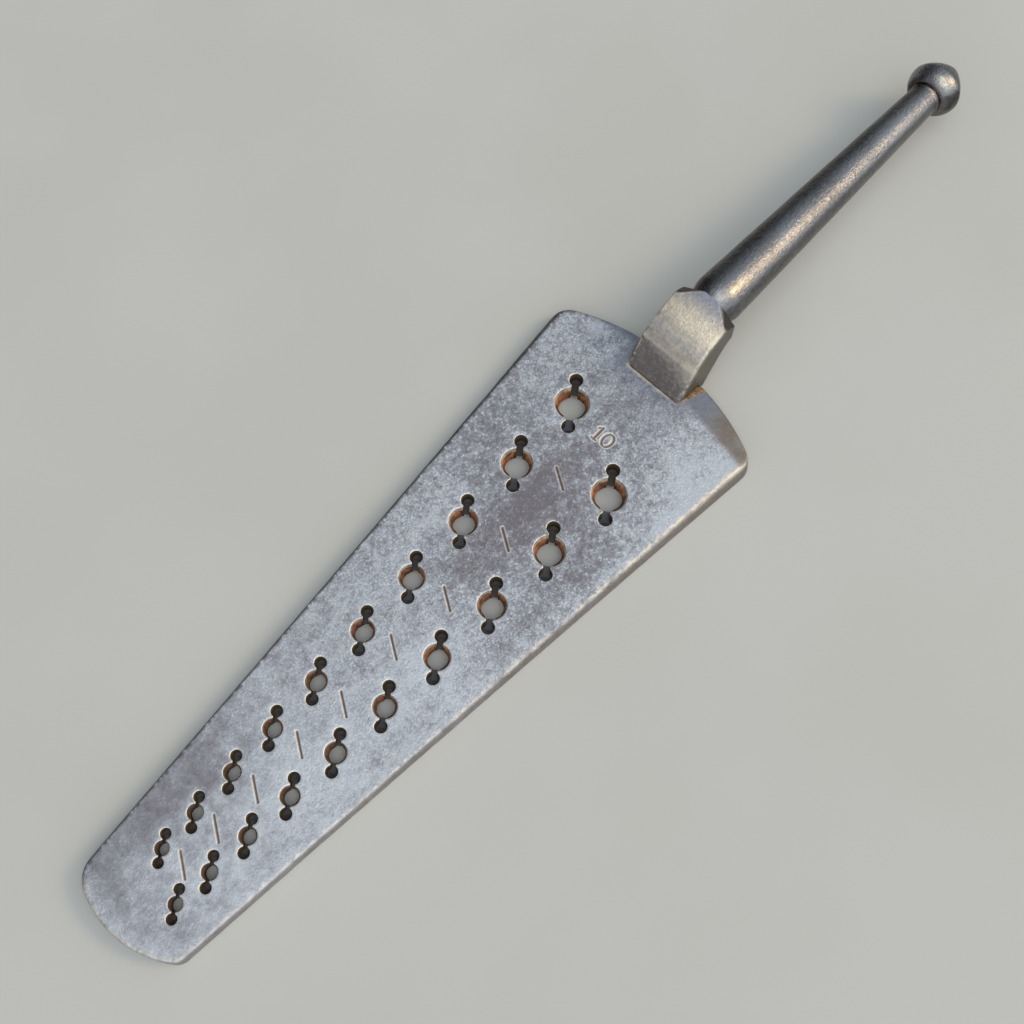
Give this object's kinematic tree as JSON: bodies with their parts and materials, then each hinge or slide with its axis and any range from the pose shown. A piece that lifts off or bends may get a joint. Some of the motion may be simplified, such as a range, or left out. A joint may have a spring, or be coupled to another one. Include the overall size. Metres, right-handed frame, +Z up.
{
  "type": "screw plate",
  "caption": "One-piece forged steel hand screw plate: tapered blade with two rows of threaded die holes and side reliefs, cranked neck, round knobbed handle.",
  "frame": {"origin": "on the underside of the blade, under the middle of the tool's overall length, on its centre line", "axes": "+X along the tool from the narrow end of the blade towards the knob, +Y across the blade, +Z up out of the blade's top face, on which the handle stands up"},
  "size_m": [0.2902, 0.0616, 0.0242],
  "materials": {
    "forged_steel": "old forged steel, blue-grey patina worn bright in patches, rust brown in the holes, dark browned handle"
  },
  "bodies": {
    "root": {"screw_plate": "forged_steel"}
  },
  "joints": []
}
